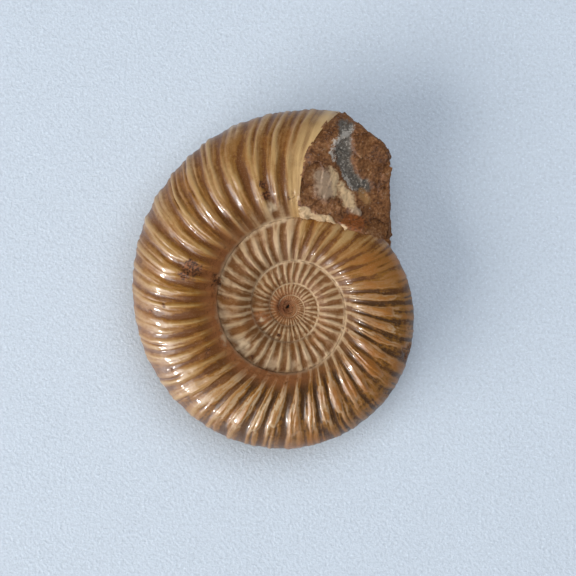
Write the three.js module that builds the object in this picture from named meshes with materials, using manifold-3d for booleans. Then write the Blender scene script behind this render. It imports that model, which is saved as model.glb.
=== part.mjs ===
// Ammonite fossil: one solid, a flat-coiled shell whose last whorl ends at a broken rock face.
//
// The shell is a strip that coils outward along a logarithmic spiral. Each turn repeats the one
// before at growthPerTurn times its size and covers the outer part of it, so a turn's seam row is
// the cover row of the turn before and the whole fossil is a single closed skin. Lengths are
// millimetres. The coil is modelled flat about its own axis, then laid on its lower flank, with
// +X and +Y in the plane it lies on and +Z up.

import * as THREE from 'three';
import Module from 'manifold-3d';

const degrees = Math.PI / 180;

// The coil, measured where the shell layer ends (the lip).
const venterRadius = 63.5;
const seamRadius = 28.8;
const halfThickness = 16.2;
const growthPerTurn = 1.9;
const lipDirection = 75 * degrees;
const modelledTurns = 3.25;
const turnsPastLip = 40 / 360;

// The coil isn't quite round: it grew off centre and was pressed slightly oval.
const offCentre = 0.052;
const offCentreDirection = 15 * degrees;
const oval = 0.0137;
const ovalDirection = 93 * degrees;
const lipConstriction = 0.02;
const constrictedTurns = 0.12;

// The whorl's cross-section. A share is the way from the seam (0) to the middle of the venter (1).
const coverShare = (growthPerTurn - 1) / (venterRadius / seamRadius - 1);
const widestShare = 0.33;
const venterRoundness = 2.2;
const shoulderRoundness = 2.2;
const shoulderFullness = 0.77;

// Ribs: primaries start at the seam and each splits in two before the venter.
const ribsPerTurn = 48;
const columnsPerRib = 4;
const ribHeight = 1.1;
const ribHeightAtVenter = 0.6;
const ribSwing = 27.4 * degrees;
const primaryProfile = [0, 0.75, 1, 0.75];
const splittingProfile = [0, 1, 0.4, 1];
const secondaryProfile = [0, 1, 0, 1];
const lipWidth = 0.025;

// The break: a slope that falls away from the lip, and two upright cracks that end the rock.
const breakEdge = new THREE.Vector3(2.8, 37.4, 15.2);
const breakFallDirection = -29 * degrees;
const breakSlope = 0.5;
const cracks = [
  { direction: 0 * degrees, distance: 32.0 },
  { direction: 51.7 * degrees, distance: 58.9 },
];

// Resting: the turn that lays the lowest rib crests on one plane, and how far they are worn flat.
const restTilt = 3.5 * degrees;
const restTiltDirection = 59 * degrees;
const wear = 0.45;

// Rows run over the section from the top seam, round the venter, to the bottom seam.
const upperShares = [0, 0.14, 0.36, coverShare, 0.93, 1];
const coverRow = upperShares.indexOf(coverShare);
const venterRow = upperShares.length - 1;
const lastRow = 2 * venterRow;
const columnsPerTurn = ribsPerTurn * columnsPerRib;
const lastColumn = Math.round(modelledTurns * columnsPerTurn);

/** Half-thickness of the whorl at a share, as a fraction of its greatest half-thickness. */
function thicknessAt(share) {
  if (share >= widestShare) {
    const outward = Math.min(1, (share - widestShare) / (1 - widestShare));
    return Math.sqrt(1 - outward ** venterRoundness);
  }
  const seamThickness = thicknessAt(coverShare) / growthPerTurn;
  const inward = 1 - share / widestShare;
  const rise = (1 - inward ** shoulderRoundness) ** shoulderFullness;
  return seamThickness + (1 - seamThickness) * rise;
}

/** The coil's sizes at a turn, counted from the lip (0) and negative towards the middle. */
function coilAt(turn) {
  const direction = lipDirection - 2 * Math.PI * turn;
  const offset = offCentre * Math.cos(direction - offCentreDirection);
  const squash = oval * Math.cos(2 * (direction - ovalDirection));
  const growth = growthPerTurn ** turn;
  const stretch = growth * Math.exp(offset + squash);
  const constriction = lipConstriction * THREE.MathUtils.smoothstep(turn, -constrictedTurns, 0);
  return {
    turn,
    direction,
    growth,
    seam: seamRadius * stretch,
    venter: venterRadius * stretch * (1 - constriction),
    half: halfThickness * growth,
  };
}

/** Height of a whorl's smooth upper surface at a radius, or zero outside it. */
function surfaceHeight(coil, radius) {
  const share = (radius - coil.seam) / (coil.venter - coil.seam);
  return share < 1 ? coil.half * thicknessAt(Math.max(0, share)) : 0;
}

/** How far a rib has swung forward at a share, in turns. */
function swingAt(share) {
  return ribSwing * (share - coverShare / 2) ** 2 / (2 * Math.PI);
}

/** The rise and fall of the ribs over one primary rib's width, at a share. */
function ribProfile(share) {
  if (share < coverShare) return primaryProfile;
  return share === coverShare ? splittingProfile : secondaryProfile;
}

/** Height of the ribs above the furrows' floor on a whorl of the lip's size. */
function ribRelief(column, share, turn) {
  const height = THREE.MathUtils.lerp(ribHeight, ribHeightAtVenter, share);
  const beforeLip = 1 - THREE.MathUtils.smoothstep(turn, -2 * lipWidth, -lipWidth);
  const pastLip = THREE.MathUtils.smoothstep(turn, 0, lipWidth);
  return height * ribProfile(share)[column % columnsPerRib] * Math.max(beforeLip, pastLip);
}

/** The section's outward normal at a share, as radial and upward parts. */
function sectionNormal(coil, share) {
  const step = 0.01;
  const low = Math.max(0, share - step);
  const high = Math.min(1, share + step);
  const run = (high - low) * (coil.venter - coil.seam);
  const rise = (thicknessAt(high) - thicknessAt(low)) * coil.half;
  const normal = new THREE.Vector2(-rise, run).normalize();
  return share === 1 ? new THREE.Vector2(1, 0) : normal;
}

/** Distance from the axis to the nearer crack in a direction, or to the venter if that is less. */
function outerRadius(coil) {
  const reaches = cracks
    .filter((crack) => Math.cos(coil.direction - crack.direction) > 0)
    .map((crack) => crack.distance / Math.cos(coil.direction - crack.direction));
  return coil.turn > -lipWidth ? Math.min(coil.venter, ...reaches) : coil.venter;
}

/** Height of the broken slope over a point. */
function breakHeight(x, y) {
  const fall = (x - breakEdge.x) * Math.cos(breakFallDirection)
    + (y - breakEdge.y) * Math.sin(breakFallDirection);
  return breakEdge.z - breakSlope * fall;
}

/** The share of a row, drawn in towards the cover row over the first turn so the strip starts at a point. */
function rowShare(column, row) {
  const share = upperShares[row <= venterRow ? row : lastRow - row];
  const start = Math.max(0, 1 - column / columnsPerTurn);
  return share < coverShare ? share + (coverShare - share) * start : share;
}

/** A point of the coiled skin: the ribbed whorl, cut down to the break past the lip. */
function skinPoint(column, row) {
  const share = rowShare(column, row);
  const turn = turnsPastLip + (column - lastColumn) / columnsPerTurn + swingAt(share);
  const coil = coilAt(turn);
  const outer = outerRadius(coil);
  const radius = coil.seam + share * (outer - coil.seam);
  const trueShare = (radius - coil.seam) / (coil.venter - coil.seam);
  const normal = sectionNormal(coil, trueShare);
  const cracked = outer < coil.venter && share > coverShare;
  const relief = cracked ? 0 : ribRelief(column, share, turn) * coil.growth;
  const ribbed = radius + relief * normal.x;
  const full = coil.half * thicknessAt(trueShare) + relief * normal.y;
  const x = ribbed * Math.cos(coil.direction);
  const y = ribbed * Math.sin(coil.direction);

  const broken = turn > -2 * lipWidth ? Math.min(full, breakHeight(x, y)) : full;
  const upper = Math.max(broken, surfaceHeight(coilAt(turn - 1), ribbed));
  if (row < venterRow) return new THREE.Vector3(x, y, upper);
  if (row > venterRow) return new THREE.Vector3(x, y, -full);
  return new THREE.Vector3(x, y, (Math.min(full, upper) - full) / 2);
}

/** Collects the skin's points and triangles, giving rows that meet the same vertex. */
class Skin {
  constructor() {
    this.points = [];
    this.triangles = [];
    this.known = new Map();
  }

  add(point) {
    this.points.push(point);
    return this.points.length - 1;
  }

  /** Seam rows share the covered turn's vertices, and the last column is glued onto that turn. */
  vertex(column, row) {
    const bottomCoverRow = lastRow - coverRow;
    if (column === 0 && row < coverRow) return this.vertex(0, coverRow);
    if (column === 0 && row > bottomCoverRow) return this.vertex(0, bottomCoverRow);
    if (column === lastColumn) {
      const covered = coverRow + Math.round((row * (bottomCoverRow - coverRow)) / lastRow);
      return this.vertex(column - columnsPerTurn, covered);
    }
    if (column >= columnsPerTurn && row === 0) {
      return this.vertex(column - columnsPerTurn, coverRow);
    }
    if (column >= columnsPerTurn && row === lastRow) {
      return this.vertex(column - columnsPerTurn, bottomCoverRow);
    }
    const key = column * (lastRow + 1) + row;
    if (!this.known.has(key)) this.known.set(key, this.add(skinPoint(column, row)));
    return this.known.get(key);
  }

  triangle(a, b, c) {
    if (a !== b && b !== c && c !== a) this.triangles.push(a, b, c);
  }

  quad(column, row) {
    const a = this.vertex(column, row);
    const b = this.vertex(column + 1, row);
    const c = this.vertex(column + 1, row + 1);
    const d = this.vertex(column, row + 1);
    this.triangle(a, b, c);
    this.triangle(a, c, d);
  }

  /** Closes the small round hole inside the first turn, on the side of the given row. */
  cap(row, side) {
    const rim = Array.from({ length: columnsPerTurn }, (_, column) => this.vertex(column, row));
    const height = this.points[rim[0]].z;
    const middle = this.add(new THREE.Vector3(0, 0, height));
    rim.forEach((current, index) => {
      const next = rim[(index + 1) % rim.length];
      if (side > 0) this.triangle(middle, next, current);
      else this.triangle(middle, current, next);
    });
  }

  geometry() {
    const geometry = new THREE.BufferGeometry().setFromPoints(this.points);
    geometry.setIndex(this.triangles);
    return geometry;
  }
}

/** The whole fossil about its own axis, coil lying level. */
function coiledSkin() {
  const skin = new Skin();
  for (let column = 0; column < lastColumn; column += 1) {
    const covered = column < lastColumn - columnsPerTurn;
    for (let row = 0; row < lastRow; row += 1) {
      const hidden = covered && row >= coverRow && row < lastRow - coverRow;
      if (!hidden) skin.quad(column, row);
    }
  }
  skin.cap(0, 1);
  skin.cap(lastRow, -1);
  return skin.geometry();
}

const wasm = await Module();
wasm.setup();

/** A closed, indexed geometry as a solid for joining and cutting. */
function toSolid(geometry) {
  return new wasm.Manifold(new wasm.Mesh({
    numProp: 3,
    vertProperties: new Float32Array(geometry.getAttribute('position').array),
    triVerts: new Uint32Array(geometry.getIndex().array),
  }));
}

function toGeometry(solid) {
  const mesh = solid.getMesh();
  const geometry = new THREE.BufferGeometry();
  geometry.setAttribute('position', new THREE.BufferAttribute(mesh.vertProperties, 3));
  geometry.setIndex(new THREE.BufferAttribute(mesh.triVerts, 1));
  return geometry;
}

/** A block whose top face is the floor. */
function floorBlock(size) {
  const corners = [];
  for (const z of [-size, 0]) {
    for (const [x, y] of [[-size, -size], [size, -size], [size, size], [-size, size]]) {
      corners.push(new THREE.Vector3(x, y, z));
    }
  }
  const geometry = new THREE.BufferGeometry().setFromPoints(corners);
  const faces = [[3, 2, 1, 0], [4, 5, 6, 7], [0, 1, 5, 4], [1, 2, 6, 5], [2, 3, 7, 6], [3, 0, 4, 7]];
  geometry.setIndex(faces.flatMap(([a, b, c, d]) => [a, b, c, a, c, d]));
  return geometry;
}

/** Lays the fossil on its lower flank, wears the lowest crests flat and centres it on the origin. */
function layDown(geometry) {
  const tiltAxis = new THREE.Vector3(-Math.sin(restTiltDirection), Math.cos(restTiltDirection), 0);
  geometry.applyMatrix4(new THREE.Matrix4().makeRotationAxis(tiltAxis, -restTilt));
  geometry.computeBoundingBox();
  geometry.translate(0, 0, -geometry.boundingBox.min.z - wear);
  const worn = toGeometry(toSolid(geometry).subtract(toSolid(floorBlock(2 * venterRadius))));
  worn.computeBoundingBox();
  const middle = worn.boundingBox.getCenter(new THREE.Vector3());
  return worn.translate(-middle.x, -middle.y, 0);
}

const geometry = layDown(coiledSkin());
geometry.computeVertexNormals();

const ammonite = new THREE.Mesh(
  geometry,
  new THREE.MeshStandardMaterial({ color: 0x9a6a35, roughness: 0.35, metalness: 0 }),
);
ammonite.name = 'ammonite';

const fossil = new THREE.Group();
fossil.add(ammonite);

export default fossil;
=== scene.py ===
"""An ammonite fossil lying on its flank: a ribbed, polished coil whose last whorl ends at broken rock.

The coil is worked out in millimetres about its own axis, lying level, and only laid down, centred
and turned to metres at the end. A turn is counted from the lip (0) and is negative towards the
middle. A share is the way across a whorl's flank from its seam (0) to the middle of the venter (1).
"""

import itertools
import logging
import math
from dataclasses import dataclass
from enum import Enum

import bpy
import numpy as np
from mathutils import Matrix, Vector


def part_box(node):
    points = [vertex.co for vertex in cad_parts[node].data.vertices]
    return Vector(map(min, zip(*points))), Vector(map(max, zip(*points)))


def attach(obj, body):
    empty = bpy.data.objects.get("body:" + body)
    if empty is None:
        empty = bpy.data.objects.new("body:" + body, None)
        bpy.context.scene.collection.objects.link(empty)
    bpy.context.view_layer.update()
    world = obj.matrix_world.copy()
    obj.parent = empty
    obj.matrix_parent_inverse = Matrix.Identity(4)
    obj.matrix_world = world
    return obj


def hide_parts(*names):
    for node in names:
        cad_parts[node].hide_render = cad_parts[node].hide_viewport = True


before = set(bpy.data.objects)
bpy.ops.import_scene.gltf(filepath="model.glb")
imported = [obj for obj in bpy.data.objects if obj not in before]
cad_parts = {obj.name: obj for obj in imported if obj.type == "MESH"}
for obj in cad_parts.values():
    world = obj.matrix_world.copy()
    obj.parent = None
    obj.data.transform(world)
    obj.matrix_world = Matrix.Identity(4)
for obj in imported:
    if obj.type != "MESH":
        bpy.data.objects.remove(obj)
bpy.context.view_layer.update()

BODY = "root"
CAD_NODE = "ammonite"
METRES_PER_MM = 0.001
MERGE_MM = 0.002
FULL_TURN_DEGREES = 360.0
SHARP_ANGLE = math.radians(70)
LOG = logging.getLogger("ammonite")

Span = tuple[float, float]
Rates = tuple[float, float]


def ease(value: np.ndarray, low: float, high: float) -> np.ndarray:
    """Smooth rise from 0 at low to 1 at high."""
    way = np.clip((value - low) / (high - low), 0, 1)
    return way * way * (3 - 2 * way)


def between(value: np.ndarray, rise: Span, fall: Span) -> np.ndarray:
    """1 between two smooth slopes and 0 outside them."""
    return ease(value, *rise) * (1 - ease(value, *fall))


# ---------------------------------------------------------------- the coil's rule


@dataclass(frozen=True)
class Coil:
    """The spiral and the whorl's section, in millimetres at the lip."""

    venter_radius: float = 63.5
    seam_radius: float = 28.8
    half_thickness: float = 16.2
    growth: float = 1.9
    lip_direction: float = math.radians(75)
    off_centre: float = 0.052
    off_centre_direction: float = math.radians(15)
    oval: float = 0.0137
    oval_direction: float = math.radians(93)
    lip_constriction: float = 0.02
    constricted_turns: float = 0.12
    widest_share: float = 0.33
    venter_roundness: float = 2.2
    shoulder_roundness: float = 2.2
    shoulder_fullness: float = 0.77
    edge_swing: float = 27.4 / 360
    edge_bulge: float = 2.2 / 360
    rib_slowing: float = 3.4
    rib_slowing_end: float = -1.7
    rib_crowding: float = 0.3
    rib_crowding_turn: float = 0.1375
    rib_offset: float = 0.434

    @property
    def cover_share(self) -> float:
        """Share of a whorl at which the next whorl's seam lies on it."""
        return (self.growth - 1) / (self.venter_radius / self.seam_radius - 1)

    @property
    def cover_angle(self) -> float:
        """The section's arc angle, counted from the widest share, at the cover share."""
        outward = (self.cover_share - self.widest_share) / (1 - self.widest_share)
        return math.asin(outward ** (self.venter_roundness / 2))

    @property
    def seam_thickness(self) -> float:
        """Half-thickness at the seam, as a fraction of the greatest half-thickness."""
        return math.cos(self.cover_angle) / self.growth

    def thickness(self, share: np.ndarray) -> np.ndarray:
        """Half-thickness at a share, as a fraction of the greatest half-thickness.

        Args:
            share: Shares from 0 to 1.

        Returns:
            Fractions from 0 to 1.
        """
        outward = np.clip((share - self.widest_share) / (1 - self.widest_share), 0, 1)
        inward = np.clip(1 - share / self.widest_share, 0, 1)
        rise = (1 - inward**self.shoulder_roundness) ** self.shoulder_fullness
        drop = np.sqrt(1 - outward**self.venter_roundness)
        return drop * (self.seam_thickness + (1 - self.seam_thickness) * rise)

    def direction(self, turn: np.ndarray) -> np.ndarray:
        """Direction of a turn seen from above, anticlockwise from +X, in radians."""
        return self.lip_direction - 2 * math.pi * turn

    def turn(self, direction: np.ndarray) -> np.ndarray:
        """Turn of the last whorl that lies in a direction."""
        return (self.lip_direction - direction) / (2 * math.pi)

    def radii(self, turn: np.ndarray) -> tuple[np.ndarray, np.ndarray]:
        """Radius of the seam and of the venter at a turn.

        Args:
            turn: Turns from the lip.

        Returns:
            The two radii in millimetres.
        """
        direction = self.direction(turn)
        offset = self.off_centre * np.cos(direction - self.off_centre_direction)
        squash = self.oval * np.cos(2 * (direction - self.oval_direction))
        stretch = self.growth**turn * np.exp(offset + squash)
        constriction = self.lip_constriction * ease(turn, -self.constricted_turns, 0.0)
        return self.seam_radius * stretch, self.venter_radius * stretch * (1 - constriction)

    def swing(self, share: "np.ndarray | Field") -> "np.ndarray | Field":
        """How far forward the lip's edge has swung at a share, in turns."""
        lean = share - self.cover_share / 2
        return lean * lean * self.edge_swing + share * (1.0 - share) * (4 * self.edge_bulge)


COIL = Coil()
LIP_TURN = -11 / FULL_TURN_DEGREES
INNER_TURNS = 5
SEAM_MARK = 1e-4
RIB_STRIDE = 1.37


class Draw(Enum):
    """What is drawn by chance for each rib. The numbers keep the draws apart."""

    SPLIT = 0.0
    MIDDLE = 20.0
    HEIGHT = 40.0
    CLEFT = 80.0
    TRIDENT = 120.0
    TIP = 140.0


@dataclass(frozen=True)
class RibRule:
    """How the ribs run, split and wear from place to place.

    A span is where something sets in or ends smoothly, in turns along the coil or in shares across
    the flank. The tip's slope is counted from the tip and the lip's reach from the lip's edge.
    Leans and bows are in degrees round the axis. Rates say how often noise changes along the coil
    and across the flank.
    """

    # How a rib swings, and how the grid's columns go over to the seam and to the lip's edge.
    pivot_share: float = 0.37
    newest_turns: Span = (-0.44, -0.32)
    last_turns: Span = (-1.06, -0.94)
    older_lean: float = 11.0
    newest_lean: float = -2.1
    inner_bow: float = 8.0
    older_bow: float = -10.4
    newest_bow: float = 15.8
    seam_shares: Span = (0.0, 0.14)
    seam_lead: float = 0.00305
    edge_reach: float = 0.09
    start_reach: float = 0.1

    # How unevenly the ribs are spaced, in ribs.
    wander: float = 0.35
    wander_rate: float = 20.0
    bend: float = 0.22
    bend_rates: Rates = (30.0, 2.2)
    bend_shares: Span = (0.1, 0.9)

    # How blunt a rib is, how it splits, and the fine lines and wear on it.
    fresh_turns: Span = (-1.15, -0.9)
    old_bluntness: float = 0.55
    outer_shares: Span = (0.3, 0.6)
    outer_sharpness: float = 1.2
    split_chance: float = 0.26
    split_length: float = 0.22
    shallowest_cleft: float = 0.65
    middle_chance: float = 0.16
    fork_sharpness: float = 1.6
    trident_sharpness: float = 0.95
    forked_share: float = 0.4
    line_rates: Rates = (4.3, 2.5)
    line_height: float = 0.8
    old_line_loss: float = 0.3
    patch_rates: Rates = (14.0, 3.0)
    patch_wear: float = 0.55

    # The worn quarter, where ribs end in rounded tongues.
    tongues_start: Span = (-0.86, -0.8)
    tongues_end: Span = (-0.52, -0.4)
    tongue_shares: Span = (0.15, 0.35)
    tongue_end_shares: Span = (0.65, 0.85)
    tongue_sharpness: float = 1.6
    tongue_split_delay: float = 0.15
    tongue_thickness: float = 0.35
    tip_share: float = 0.78
    tip_roundness: float = 1.3
    tip_chance: float = 0.12
    tip_slope: Span = (-0.03, 0.04)
    tip_drop: float = 0.5

    # How high the ribs are raised, and where they are worn or fade.
    height_chance: float = 0.3
    lowest_height: float = 0.85
    venter_taper: float = 0.5
    seam_taper_shares: Span = (0.04, 0.26)
    seam_taper: float = 0.8
    old_height_gain: float = 0.6
    worn_start: Span = (-0.975, -0.94)
    worn_end: Span = (-0.84, -0.77)
    worn_shares: Span = (0.12, 0.35)
    worn_loss: float = 0.55
    low_start: Span = (-0.48, -0.4)
    low_end: Span = (-0.3, -0.2)
    low_shares: Span = (0.35, 0.6)
    low_loss: float = 0.48
    lip_reach: Span = (-0.027, -0.009)
    lip_loss: float = 0.85
    covered_fade: float = 0.05
    free_shares: Span = (0.0, 0.03)


# ---------------------------------------------------------------- node helpers


class Field:
    """A number on a node socket. Arithmetic on it adds Math nodes to its tree."""

    def __init__(self, tree: bpy.types.NodeTree, socket: bpy.types.NodeSocket) -> None:
        """Wraps an output socket of a tree."""
        self.tree = tree
        self.socket = socket

    def math(self, operation: str, *others: "Field | float") -> "Field":
        """Adds one Math node.

        Args:
            operation: The node's operation.
            others: The second and third values, as fields or plain numbers.

        Returns:
            The node's result.
        """
        node = self.tree.nodes.new("ShaderNodeMath")
        node.operation = operation
        for slot, value in enumerate((self, *others)):
            if isinstance(value, Field):
                self.tree.links.new(value.socket, node.inputs[slot])
            else:
                node.inputs[slot].default_value = value
        return Field(self.tree, node.outputs[0])

    def __add__(self, other: "Field | float") -> "Field":
        """Sum."""
        return self.math("ADD", other)

    def __sub__(self, other: "Field | float") -> "Field":
        """Difference."""
        return self.math("SUBTRACT", other)

    def __rsub__(self, other: float) -> "Field":
        """Difference from a plain number."""
        return (self * -1.0) + other

    def __mul__(self, other: "Field | float") -> "Field":
        """Product."""
        return self.math("MULTIPLY", other)

    def __truediv__(self, other: "Field | float") -> "Field":
        """Quotient."""
        return self.math("DIVIDE", other)

    def __pow__(self, other: "Field | float") -> "Field":
        """Power."""
        return self.math("POWER", other)

    def clamp(self) -> "Field":
        """The value held between 0 and 1."""
        return self.math("MAXIMUM", 0.0).math("MINIMUM", 1.0)

    def smooth(self, low: "Field | float", high: "Field | float") -> "Field":
        """Smooth rise from 0 at one value to 1 at another.

        Args:
            low: Where the rise starts.
            high: Where it ends.

        Returns:
            The eased value.
        """
        node = self.tree.nodes.new("ShaderNodeMapRange")
        node.interpolation_type = "SMOOTHSTEP"
        for slot, value in enumerate((self, low, high)):
            if isinstance(value, Field):
                self.tree.links.new(value.socket, node.inputs[slot])
            else:
                node.inputs[slot].default_value = value
        return Field(self.tree, node.outputs[0])

    def between(self, rise: Span, fall: Span) -> "Field":
        """1 between two smooth slopes and 0 outside them."""
        return self.smooth(*rise) * (1.0 - self.smooth(*fall))

    def blend(self, other: "Field | float", way: "Field") -> "Field":
        """This value where way is 0 and the other where it is 1."""
        return self * (1.0 - way) + way * other


# ---------------------------------------------------------------- the ribbed flank, by Geometry Nodes


class FlankInput(Enum):
    """The flank tree's named inputs, with their socket types."""

    COLUMNS = ("Columns", "NodeSocketInt")
    ROWS = ("Rows", "NodeSocketInt")
    FIRST_TURN = ("First Turn", "NodeSocketFloat")
    LAST_TURN = ("Last Turn", "NodeSocketFloat")
    OUTER_ANGLE = ("Outer Angle", "NodeSocketFloat")
    SHOULDER_ROWS = ("Shoulder Rows", "NodeSocketFloat")
    COVERED = ("Covered Edge", "NodeSocketFloat")
    SEAM_RADIUS = ("Seam Radius", "NodeSocketFloat")
    VENTER_RADIUS = ("Venter Radius", "NodeSocketFloat")
    HALF_THICKNESS = ("Half Thickness", "NodeSocketFloat")
    GROWTH = ("Growth per Turn", "NodeSocketFloat")
    RIBS = ("Ribs per Turn", "NodeSocketFloat")
    RIB_HEIGHT = ("Rib Height", "NodeSocketFloat")
    SPLIT_SHARE = ("Split Share", "NodeSocketFloat")
    FURROW_SHARPNESS = ("Furrow Sharpness", "NodeSocketFloat")
    SEED = ("Seed", "NodeSocketFloat")
    FINISH = ("Finish", "NodeSocketMaterial")


@dataclass(frozen=True)
class RibPlace:
    """Where each point of the flank is among the ribs."""

    turn: Field
    share: Field
    rib_turn: Field
    phase: Field
    rib: Field
    old: Field
    tongued: Field


class FlankTree:
    """Builds the tree that coils one upper flank and raises its splitting ribs."""

    def __init__(self, coil: Coil, rule: RibRule) -> None:
        """Builds the whole tree.

        Args:
            coil: The spiral's rule, whose fixed proportions go into the tree.
            rule: How the ribs run, split and wear.
        """
        self.coil = coil
        self.rule = rule
        self.tree = bpy.data.node_groups.new("ribbed_flank", "GeometryNodeTree")
        self.sockets: dict[FlankInput, str] = {}
        for entry in FlankInput:
            name, kind = entry.value
            socket = self.tree.interface.new_socket(name=name, in_out="INPUT", socket_type=kind)
            self.sockets[entry] = socket.identifier
        self.tree.interface.new_socket(
            name="Geometry", in_out="OUTPUT", socket_type="NodeSocketGeometry"
        )
        self.group_input = self.tree.nodes.new("NodeGroupInput")
        self._build()

    def _input(self, entry: FlankInput) -> Field:
        """One of the tree's inputs as a field."""
        return Field(self.tree, self.group_input.outputs[entry.value[0]])

    def _node(self, kind: str, **links: bpy.types.NodeSocket) -> bpy.types.Node:
        """Adds a node and links sockets into it.

        Args:
            kind: The node's type.
            links: Input names, with underscores for spaces, and the sockets they take.

        Returns:
            The new node.
        """
        node = self.tree.nodes.new(kind)
        for name, socket in links.items():
            self.tree.links.new(socket, node.inputs[name.replace("_", " ")])
        return node

    def _position(self) -> tuple[Field, Field, Field]:
        """Reads the position.

        Returns:
            Its three parts.
        """
        position = self._node("GeometryNodeInputPosition")
        parts = self._node("ShaderNodeSeparateXYZ", Vector=position.outputs[0])
        return tuple(Field(self.tree, parts.outputs[axis]) for axis in range(3))

    def _store(self, geometry: bpy.types.NodeSocket, name: str, value: Field) -> bpy.types.NodeSocket:
        """Stores a number on every vertex under a name.

        Args:
            geometry: The mesh.
            name: The attribute's name.
            value: The number.

        Returns:
            The mesh with the attribute.
        """
        node = self._node("GeometryNodeStoreNamedAttribute", Geometry=geometry, Value=value.socket)
        node.data_type = "FLOAT"
        node.domain = "POINT"
        node.inputs["Name"].default_value = name
        return node.outputs[0]

    def _read(self, name: str) -> Field:
        """Reads a stored number back.

        Args:
            name: The attribute's name.

        Returns:
            The number.
        """
        node = self._node("GeometryNodeInputNamedAttribute")
        node.data_type = "FLOAT"
        node.inputs["Name"].default_value = name
        return Field(self.tree, node.outputs[0])

    def _chance(self, rib: Field, draw: Draw) -> Field:
        """A random number from 0 to 1 for each rib.

        Args:
            rib: The rib's number.
            draw: What the number is for.

        Returns:
            The random number.
        """
        seed = self._input(FlankInput.SEED) + draw.value
        node = self.tree.nodes.new("ShaderNodeTexWhiteNoise")
        node.noise_dimensions = "1D"
        self.tree.links.new((rib * RIB_STRIDE + seed).socket, node.inputs["W"])
        return Field(self.tree, node.outputs["Value"])

    def _thickness(self, share: Field) -> Field:
        """Half-thickness of the section at a share.

        Args:
            share: The share.

        Returns:
            A fraction of the greatest half-thickness.
        """
        coil = self.coil
        outward = ((share - coil.widest_share) / (1 - coil.widest_share)).clamp()
        inward = (1.0 - share / coil.widest_share).clamp()
        rise = (1.0 - inward**coil.shoulder_roundness).clamp() ** coil.shoulder_fullness
        drop = (1.0 - outward**coil.venter_roundness).clamp() ** 0.5
        return drop * (rise * (1 - coil.seam_thickness) + coil.seam_thickness)

    def _grid_attributes(self, grid: bpy.types.NodeSocket) -> bpy.types.NodeSocket:
        """Stores each grid point's turn and share, and marks the seam row.

        A seam row takes its place from the whorl it lies on, one turn earlier, so that the two
        rows fall on the same points and merge.

        Args:
            grid: A flat grid one unit square, columns along X and rows along Y.

        Returns:
            The grid with its attributes.
        """
        coil = self.coil
        along, across, _ = self._position()
        along = along + 0.5
        across = across + 0.5
        shoulder = self._input(FlankInput.SHOULDER_ROWS)
        quarter = (across / shoulder).clamp() * (math.pi / 2)
        inner = (1.0 - quarter.math("COSINE")) * coil.widest_share
        arc = ((across - shoulder) / (1.0 - shoulder)).clamp() * self._input(FlankInput.OUTER_ANGLE)
        outer = arc.math("SINE") ** (2 / coil.venter_roundness) * (1 - coil.widest_share)
        seam = across.math("LESS_THAN", SEAM_MARK)
        share = (inner + outer).blend(coil.cover_share, seam)
        first = self._input(FlankInput.FIRST_TURN)
        base = first + (self._input(FlankInput.LAST_TURN) - first) * along - seam
        turn = base + self._column_swing(base, share)
        grid = self._store(grid, "seam", seam)
        grid = self._store(grid, "share", share)
        return self._store(grid, "turn", turn)

    def _coiled(self, geometry: bpy.types.NodeSocket) -> bpy.types.NodeSocket:
        """Moves the grid onto the smooth upper flank of the coil.

        Args:
            geometry: The grid with its attributes.

        Returns:
            The coiled flank, with points that fall together merged.
        """
        coil = self.coil
        turn = self._read("turn")
        share = self._read("share")
        direction = turn * (-2 * math.pi) + coil.lip_direction
        offset = (direction - coil.off_centre_direction).math("COSINE") * coil.off_centre
        squash = ((direction - coil.oval_direction) * 2.0).math("COSINE") * coil.oval
        growth = self._input(FlankInput.GROWTH) ** turn
        stretch = growth * (offset + squash).math("EXPONENT")
        constriction = turn.smooth(-coil.constricted_turns, 0.0) * coil.lip_constriction
        seam = self._input(FlankInput.SEAM_RADIUS) * stretch
        venter = self._input(FlankInput.VENTER_RADIUS) * stretch * (1.0 - constriction)
        radius = seam + (venter - seam) * share
        height = self._input(FlankInput.HALF_THICKNESS) * growth * self._thickness(share)
        place = self.tree.nodes.new("ShaderNodeCombineXYZ")
        parts = (radius * direction.math("COSINE"), radius * direction.math("SINE"), height)
        for axis, part in enumerate(parts):
            self.tree.links.new(part.socket, place.inputs[axis])
        moved = self._node("GeometryNodeSetPosition", Geometry=geometry, Position=place.outputs[0])
        merged = self._node("GeometryNodeMergeByDistance", Geometry=moved.outputs[0])
        merged.inputs["Distance"].default_value = MERGE_MM
        return merged.outputs[0]

    def _noise(self, *place: Field) -> Field:
        """Soft noise.

        Args:
            place: Up to three numbers that the noise is read at.

        Returns:
            The noise, from -1 to 1.
        """
        vector = self.tree.nodes.new("ShaderNodeCombineXYZ")
        for axis, part in enumerate(place):
            self.tree.links.new(part.socket, vector.inputs[axis])
        node = self._node("ShaderNodeTexNoise", Vector=vector.outputs[0])
        node.inputs["Scale"].default_value = 1.0
        node.inputs["Detail"].default_value = 1.0
        return Field(self.tree, node.outputs["Fac"]) * 2.0 - 1.0

    def _rib_swing(self, turn: Field, share: Field) -> Field:
        """How far a rib has swung forward at a share, in turns.

        Ribs lean forward over most of the last whorl, bow gently on its newest third and run
        straight out on the inner whorls.

        Args:
            turn: The turn, which picks the style.
            share: The share.

        Returns:
            The swing from where the rib crosses the middle of the flank.
        """
        rule = self.rule
        newest = turn.smooth(*rule.newest_turns)
        inner = 1.0 - turn.smooth(*rule.last_turns)
        older = 1.0 - newest - inner
        lean = older * rule.older_lean + newest * rule.newest_lean
        bow = inner * rule.inner_bow + older * rule.older_bow + newest * rule.newest_bow
        out = share - rule.pivot_share
        return (lean + bow * out) * out / FULL_TURN_DEGREES

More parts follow.
